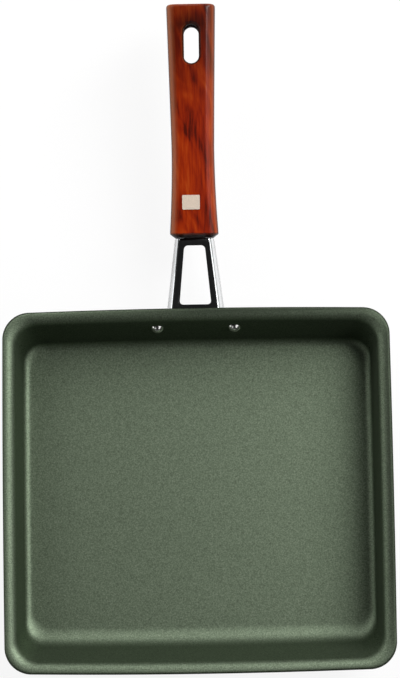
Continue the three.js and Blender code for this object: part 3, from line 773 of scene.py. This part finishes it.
def handle_bolt(material):
    """The long bolt, with a rounded head and a cross recess for the driver."""
    shank, head = BOLT_SHANK / 2, BOLT_HEAD / 2
    rounded = [(head - BOLT_HEAD_EDGE * (1 - cos(turn)), BOLT_HEAD_TOP - BOLT_HEAD_EDGE * (1 - sin(turn)))
               for turn in steps(0, pi / 2, 5)]
    bm = bmesh.new()
    profile_line(bm, [(0, BOLT_TIP), (shank - BOLT_TIP_CHAMFER, BOLT_TIP),
                      (shank, BOLT_TIP + BOLT_TIP_CHAMFER), (shank, BOLT_HEAD_AT), (head, BOLT_HEAD_AT)]
                 + rounded + [(0, BOLT_HEAD_TOP)])
    spun_about_y(bm, 40)
    deep = 2 * BOLT_RECESS_DEPTH
    cross = [recess_cutter((BOLT_RECESS_REACH, deep, BOLT_RECESS_WIDTH)),
             recess_cutter((BOLT_RECESS_WIDTH, deep, BOLT_RECESS_REACH))]
    bm = carved(bm, cross)
    bm.transform(HANDLE)
    return finished("handle_bolt_recessed", bm, [material], "handle_bolt", sharp=30)


# Label

def label(material):
    bm = bmesh.new()
    bmesh.ops.create_grid(bm, x_segments=1, y_segments=1, size=0.5)
    bmesh.ops.scale(bm, verts=bm.verts, vec=(LABEL_WIDTH, LABEL_LENGTH, 1))
    bmesh.ops.bevel(bm, geom=bm.verts[:], offset=LABEL_CORNER, affect="VERTICES", segments=4, profile=0.5,
                    material=-1)
    sheet = bmesh.ops.extrude_face_region(bm, geom=bm.faces[:])["geom"]
    bmesh.ops.translate(bm, verts=verts_of(sheet), vec=(0, 0, LABEL_THICKNESS))
    closed(bm)
    bmesh.ops.translate(bm, verts=bm.verts, vec=(LABEL_OFFSET, LABEL_FROM_NEAR_END, GRIP_TOP + GLUE_LINE))
    bm.transform(HANDLE)
    return finished("grip_label_blank", bm, [material], "grip_label")


# Materials

def blank_material(name):
    material = bpy.data.materials.new(name)
    material.use_nodes = True
    shader = material.node_tree.nodes["Principled BSDF"]
    return material, material.node_tree, shader


def add(tree, kind, settings=None, **inputs):
    """A node of a kind with its inputs set to values or linked to sockets."""
    node = tree.nodes.new(kind)
    for key, value in (settings or {}).items():
        setattr(node, key, value)
    for key, value in inputs.items():
        socket = node.inputs[key.replace("_", " ")]
        if isinstance(value, bpy.types.NodeSocket):
            tree.links.new(value, socket)
        else:
            socket.default_value = value
    return node


def placed(tree, scale=(1, 1, 1)):
    """Object coordinates, scaled."""
    spot = add(tree, "ShaderNodeTexCoord")
    mapping = add(tree, "ShaderNodeMapping", Vector=spot.outputs["Object"], Scale=scale)
    return mapping.outputs["Vector"]


def ramp(tree, factor, stops):
    node = add(tree, "ShaderNodeValToRGB", Fac=factor)
    elements = node.color_ramp.elements
    while len(elements) < len(stops):
        elements.new(0.5)
    for element, (position, colour) in zip(elements, stops):
        element.position = position
        element.color = (*colour, 1) if len(colour) == 3 else colour
    return node.outputs["Color"]


def grey(value):
    return (value, value, value)


def ranged(tree, value, start, end, low, high):
    """A value mapped from one range to another, and held inside it."""
    node = add(tree, "ShaderNodeMapRange", Value=value, From_Min=start, From_Max=end, To_Min=low, To_Max=high)
    return node.outputs["Result"]


def maths(tree, operation, first, second):
    node = add(tree, "ShaderNodeMath", {"operation": operation})
    for socket, value in zip(node.inputs, (first, second)):
        if isinstance(value, bpy.types.NodeSocket):
            tree.links.new(value, socket)
        else:
            socket.default_value = value
    return node.outputs[0]


def vector_maths(tree, operation, first, second=(0, 0, 0)):
    node = add(tree, "ShaderNodeVectorMath", {"operation": operation})
    tree.links.new(first, node.inputs[0])
    node.inputs[1].default_value = second
    return node.outputs["Value" if operation in ("LENGTH", "DOT_PRODUCT") else "Vector"]


def painted_rim_shade(tree, spot):
    """Painted shade on the outer band of the rim, darkest at the back right, taking the inside coat down to
    the outside coat's tone.
    """
    quarter = vector_maths(tree, "ABSOLUTE", spot)
    beyond = vector_maths(tree, "SUBTRACT", quarter, (RIM_WIDTH / 2 - RIM_CORNER, RIM_LENGTH / 2 - RIM_CORNER,
                                                      PAN_HEIGHT))
    out = vector_maths(tree, "LENGTH", vector_maths(tree, "MAXIMUM", beyond))
    band = ranged(tree, out, RIM_CORNER - RIM_SHADE_REACH, RIM_CORNER - RIM_SHADE_SOLID, 0, 1)
    towards = vector_maths(tree, "DOT_PRODUCT", spot, RIM_SHADE_TOWARDS)
    heavy = ranged(tree, towards, RIM_SHADE_START, RIM_SHADE_FULL, 0, 1)
    return maths(tree, "MULTIPLY", band, heavy)


def coated_aluminium(name, shade):
    """Satin grey-green non-stick coating with a fine metallic speckle."""
    material, tree, shader = blank_material(name)
    spot = placed(tree)
    speckle = add(tree, "ShaderNodeTexNoise", Vector=spot, Scale=1500.0, Detail=2.0, Roughness=0.6)
    shaded = [(position, [part * shade for part in tone]) for position, tone in COAT_SPECKLE]
    colour = ramp(tree, speckle.outputs["Fac"], shaded)
    # The inside coat carries painted shade on the outer band of its rim.
    if shade == INSIDE_SHADE:
        colour = mixed(tree, "MULTIPLY", painted_rim_shade(tree, spot), colour, (*grey(OUTSIDE_SHADE), 1))
    tree.links.new(colour, shader.inputs["Base Color"])
    bump = add(tree, "ShaderNodeBump", Height=speckle.outputs["Fac"], Strength=0.15, Distance=0.05 * MM)
    tree.links.new(bump.outputs["Normal"], shader.inputs["Normal"])
    shader.inputs["Metallic"].default_value = 1
    shader.inputs["Roughness"].default_value = 0.54
    shader.inputs["Specular Tint"].default_value = (0.17, 0.18, 0.17, 1)
    return material


def polished_steel():
    material, tree, shader = blank_material("polished_steel")
    streaks = add(tree, "ShaderNodeTexNoise", Vector=placed(tree, (900, 60, 900)), Scale=1.0, Detail=3.0)
    tree.links.new(ranged(tree, streaks.outputs["Fac"], 0, 1, 0.06, 0.14), shader.inputs["Roughness"])
    shader.inputs["Base Color"].default_value = (0.8, 0.82, 0.83, 1)
    shader.inputs["Metallic"].default_value = 1
    return material


def bright_aluminium():
    material, tree, shader = blank_material("bright_aluminium")
    cloud = add(tree, "ShaderNodeTexNoise", Vector=placed(tree), Scale=700.0, Detail=3.0)
    tree.links.new(ranged(tree, cloud.outputs["Fac"], 0, 1, 0.14, 0.3), shader.inputs["Roughness"])
    shader.inputs["Base Color"].default_value = (0.72, 0.72, 0.7, 1)
    shader.inputs["Metallic"].default_value = 1
    return material


def zinc_steel():
    material, tree, shader = blank_material("zinc_steel")
    cloud = add(tree, "ShaderNodeTexNoise", Vector=placed(tree), Scale=900.0, Detail=4.0)
    tree.links.new(ranged(tree, cloud.outputs["Fac"], 0, 1, 0.25, 0.45), shader.inputs["Roughness"])
    shader.inputs["Base Color"].default_value = (0.6, 0.6, 0.6, 1)
    shader.inputs["Metallic"].default_value = 1
    return material


def along_handle(tree):
    """Coordinates in the handle's own frame."""
    spot = add(tree, "ShaderNodeTexCoord")
    turned = HANDLE.inverted()
    mapping = add(tree, "ShaderNodeMapping", Vector=spot.outputs["Object"], Rotation=turned.to_euler(),
                  Location=turned.translation)
    return mapping.outputs["Vector"]


def stretched(tree, spot, scale, turn=0):
    mapping = add(tree, "ShaderNodeMapping", {"vector_type": "TEXTURE"}, Vector=spot, Rotation=(0, 0, turn),
                  Scale=scale)
    return mapping.outputs["Vector"]


def mixed(tree, kind, factor, first, second):
    """Two colours mixed by a factor that varies over the surface."""
    node = add(tree, "ShaderNodeMix", {"data_type": "RGBA", "blend_type": kind})
    for socket, value in ((node.inputs[0], factor), (node.inputs[6], first), (node.inputs[7], second)):
        if isinstance(value, bpy.types.NodeSocket):
            tree.links.new(value, socket)
        else:
            socket.default_value = value
    return node.outputs[2]


def hole_shade_and_stain(tree, axes, grain):
    """Painted shade in a ring round the hanging hole, and dark stain smeared along the grain towards the far
    end.
    """
    straight = (HANG_HOLE_LENGTH - HANG_HOLE_WIDTH) / 2
    wall = HANG_HOLE_WIDTH / 2
    along = maths(tree, "SUBTRACT", axes.outputs["Y"], HOLE_CENTRE)
    held = maths(tree, "MAXIMUM", maths(tree, "MINIMUM", along, straight), -straight)
    spread = add(tree, "ShaderNodeCombineXYZ", X=axes.outputs["X"], Y=maths(tree, "SUBTRACT", along, held))
    away = vector_maths(tree, "LENGTH", spread.outputs["Vector"])
    # Painted shade: a dark ring round the hole's wall, standing for its chamfer in shade.
    rim = ranged(tree, away, wall + HOLE_SHADE_SOLID, wall + HOLE_SHADE_REACH, 0.95, 0)
    near = ranged(tree, away, wall + SMEAR_SOLID, wall + SMEAR_REACH, 1, 0)
    beyond = ranged(tree, along, 0.8 * straight, 1.6 * straight, 0, 1)
    streaky = ranged(tree, grain, 0.4, 0.62, 1, 0.7)
    smear = maths(tree, "MULTIPLY", maths(tree, "MULTIPLY", near, beyond), streaky)
    return maths(tree, "MAXIMUM", rim, smear)


def stained_wood():
    """Red-brown stained wood under gloss lacquer: darker towards the far end, painted sheen on its rounded
    edges, painted shade where they turn down and round the hole, and end grain with painted shade on the near
    chamfer.
    """
    material, tree, shader = blank_material("stained_wood")
    spot = along_handle(tree)
    figure = add(tree, "ShaderNodeTexNoise", Vector=stretched(tree, spot, FIGURE_SIZE, FIGURE_SLANT),
                 Scale=1.0, Detail=2.0, Roughness=0.5, Distortion=0.8).outputs["Fac"]
    grain = add(tree, "ShaderNodeTexNoise", Vector=stretched(tree, spot, GRAIN_SIZE), Scale=1.0, Detail=4.0,
                Roughness=0.65, Distortion=0.3).outputs["Fac"]
    both = add(tree, "ShaderNodeMix", A=figure, B=grain, Factor=GRAIN_SHARE)
    stain = ramp(tree, both.outputs[0], STAIN)
    axes = add(tree, "ShaderNodeSeparateXYZ", Vector=spot)
    height = axes.outputs["Z"]

    uneven = ranged(tree, figure, 0.3, 0.6, 0.95, 0.6)
    far_end = ranged(tree, axes.outputs["Y"], 0.5 * GRIP_LENGTH, 0.85 * GRIP_LENGTH, 0, uneven)
    darkened = mixed(tree, "MULTIPLY", far_end, stain, DEEP_STAIN_AND_SHADE)

    # Painted sheen: the rounded long edges are paler, more on the left than on the right.
    rounded = ranged(tree, height, GRIP_TOP - 0.4 * GRIP_EDGE, GRIP_TOP - 0.02 * GRIP_EDGE, 1, 0)
    left = ranged(tree, axes.outputs["X"], -5 * MM, 5 * MM, 0.85, 0.3)
    with_painted_sheen = mixed(tree, "MIX", maths(tree, "MULTIPLY", rounded, left), darkened, PAINTED_SHEEN)

    # Painted shade darkens the long rounded edges where they turn down, and the ring round the hanging hole.
    edges = ranged(tree, height, GRIP_TOP - 0.75 * GRIP_EDGE, GRIP_TOP - 0.35 * GRIP_EDGE, 0.85, 0)
    edge_shade_and_hole_stain = maths(tree, "MAXIMUM", edges, hole_shade_and_stain(tree, axes, grain))
    shaded = mixed(tree, "MULTIPLY", edge_shade_and_hole_stain, with_painted_sheen, DEEP_STAIN_AND_SHADE)
    # End grain on the near chamfer, made darker still as painted shade.
    near_end_shade_and_grain = ranged(tree, axes.outputs["Y"], 0.5 * GRIP_CHAMFER_LENGTH, 1.2 * GRIP_CHAMFER_LENGTH, 1, 0)
    colour = mixed(tree, "MIX", near_end_shade_and_grain, shaded, END_GRAIN_AND_SHADE)
    tree.links.new(colour, shader.inputs["Base Color"])
    shader.inputs["Roughness"].default_value = 0.5
    shader.inputs["Specular IOR Level"].default_value = 0.05
    shader.inputs["Coat Weight"].default_value = 0.27
    shader.inputs["Coat Roughness"].default_value = 0.16
    return material


def bare_wood_and_shade():
    """Unlacquered end grain on the walls of the holes, made near-black as painted shade."""
    material, tree, shader = blank_material("bare_wood_and_shade")
    grain = add(tree, "ShaderNodeTexNoise", Vector=stretched(tree, along_handle(tree), GRAIN_SIZE), Scale=1.0,
                Detail=4.0)
    colour = ramp(tree, grain.outputs["Fac"], [(0.35, (0.008, 0.003, 0.002)), (0.65, (0.03, 0.009, 0.005))])
    tree.links.new(colour, shader.inputs["Base Color"])
    shader.inputs["Roughness"].default_value = 0.8
    shader.inputs["Specular IOR Level"].default_value = 0.1
    return material


def label_paper():
    material, tree, shader = blank_material("label_paper")
    fibre = add(tree, "ShaderNodeTexNoise", Vector=placed(tree), Scale=2500.0, Detail=3.0)
    colour = ramp(tree, fibre.outputs["Fac"], [(0.3, (0.51, 0.42, 0.335)), (0.7, (0.63, 0.52, 0.42))])
    tree.links.new(colour, shader.inputs["Base Color"])
    shader.inputs["Roughness"].default_value = 0.5
    return material


# Studio

def camera():
    data = bpy.data.cameras.new("camera")
    data.lens = CAMERA_LENS
    data.sensor_width = CAMERA_SENSOR
    data.clip_start = 0.1
    data.clip_end = 20
    back = Vector((tan(CAMERA_TURN), -tan(CAMERA_TILT), 1)).normalized()
    right = Vector((back.z, 0, -back.x)).normalized()
    up = back.cross(right)
    rolled_up = up * cos(CAMERA_ROLL) + right * sin(CAMERA_ROLL)
    rolled_right = right * cos(CAMERA_ROLL) - up * sin(CAMERA_ROLL)
    turned = Matrix((rolled_right, rolled_up, back)).transposed()
    place = bpy.data.objects.new("camera", data)
    place.matrix_world = Matrix.Translation(CAMERA_AIM + back * CAMERA_DISTANCE) @ turned.to_4x4()
    bpy.context.scene.collection.objects.link(place)
    bpy.context.scene.camera = place


def softbox(name, azimuth, elevation, size, radiance):
    """A rectangular lamp on a dome around the pan, facing it."""
    flat = cos(radians(elevation))
    towards = Vector((flat * cos(radians(azimuth)), flat * sin(radians(azimuth)), sin(radians(elevation))))
    data = bpy.data.lights.new(name, "AREA")
    data.shape = "RECTANGLE"
    data.size, data.size_y = size
    data.energy = radiance * pi * size[0] * size[1]
    lamp = bpy.data.objects.new(name, data)
    lamp.location = LAMP_AIM + towards * LAMP_DISTANCE
    lamp.rotation_euler = (-towards).to_track_quat("-Z", "Y").to_euler()
    bpy.context.scene.collection.objects.link(lamp)


def white_floor():
    """White to the camera and in reflections away from the pan, with its shadow, and clear from below."""
    material, tree, shader = blank_material("white_floor")
    shader.inputs["Base Color"].default_value = (0.9, 0.9, 0.9, 1)
    shader.inputs["Roughness"].default_value = 0.9
    path = add(tree, "ShaderNodeLightPath")
    near_pan = add(tree, "ShaderNodeAmbientOcclusion", {"samples": 8}, Distance=FLOOR_SHADE_REACH)
    spot = add(tree, "ShaderNodeTexCoord")
    axes = add(tree, "ShaderNodeSeparateXYZ", Vector=spot.outputs["Object"])
    # In reflections the floor's glow is painted dimmer towards the right, and dimmer near the pan as painted
    # shade.
    across = ranged(tree, axes.outputs["X"], -0.2, 0.2, 1, 0.4)
    shaded = maths(tree, "MULTIPLY", near_pan.outputs["AO"], across)
    reflected = maths(tree, "MULTIPLY", path.outputs["Is Glossy Ray"], shaded)
    seen = maths(tree, "MAXIMUM", path.outputs["Is Camera Ray"], reflected)
    glow = add(tree, "ShaderNodeEmission", Strength=1.0)
    lit = add(tree, "ShaderNodeMixShader", Fac=maths(tree, "MULTIPLY", seen, FLOOR_GLOW))
    tree.links.new(shader.outputs[0], lit.inputs[1])
    tree.links.new(glow.outputs[0], lit.inputs[2])
    side = add(tree, "ShaderNodeNewGeometry")
    clear = add(tree, "ShaderNodeBsdfTransparent")
    one_sided = add(tree, "ShaderNodeMixShader", Fac=side.outputs["Backfacing"])
    tree.links.new(lit.outputs[0], one_sided.inputs[1])
    tree.links.new(clear.outputs[0], one_sided.inputs[2])
    tree.links.new(one_sided.outputs[0], tree.nodes["Material Output"].inputs["Surface"])
    return material


def floor():
    bm = bmesh.new()
    bmesh.ops.create_grid(bm, x_segments=1, y_segments=1, size=FLOOR_HALF_SIZE)
    mesh = bpy.data.meshes.new("floor")
    bm.to_mesh(mesh)
    bm.free()
    mesh.materials.append(white_floor())
    sheet = bpy.data.objects.new("floor", mesh)
    sheet.location.z = -FLOOR_DROP
    bpy.context.scene.collection.objects.link(sheet)


def world():
    """A dim sky, palest at the horizon and on the left."""
    sky = bpy.data.worlds.new("studio")
    bpy.context.scene.world = sky
    sky.use_nodes = True
    tree = sky.node_tree
    spot = add(tree, "ShaderNodeTexCoord")
    axes = add(tree, "ShaderNodeSeparateXYZ", Vector=spot.outputs["Generated"])
    colour = ramp(tree, axes.outputs["Z"], [(position, grey(value)) for position, value in SKY])
    background = tree.nodes["Background"]
    tree.links.new(colour, background.inputs["Color"])
    tree.links.new(ranged(tree, axes.outputs["X"], -1, 1, 1, 0.2), background.inputs["Strength"])


def studio():
    camera()
    world()
    floor()
    for name, values in LAMPS.items():
        softbox(name, *values)
    bpy.context.scene.view_settings.view_transform = "Standard"


studio()
rivet_metal = bright_aluminium()
fixing_metal = zinc_steel()
pan_body(coated_aluminium("inside_coat", INSIDE_SHADE), coated_aluminium("outside_coat", OUTSIDE_SHADE))
rivet("left", -1, rivet_metal)
rivet("right", 1, rivet_metal)
bracket(polished_steel())
wood_grip(stained_wood(), bare_wood_and_shade())
label(label_paper())
handle_bolt(fixing_metal)
for node in ("bolt_washer", "bolt_spring_washer", "bracket_nut"):
    solid = frame["nodes"][node]
    solid.data.materials.clear()
    solid.data.materials.append(fixing_metal)
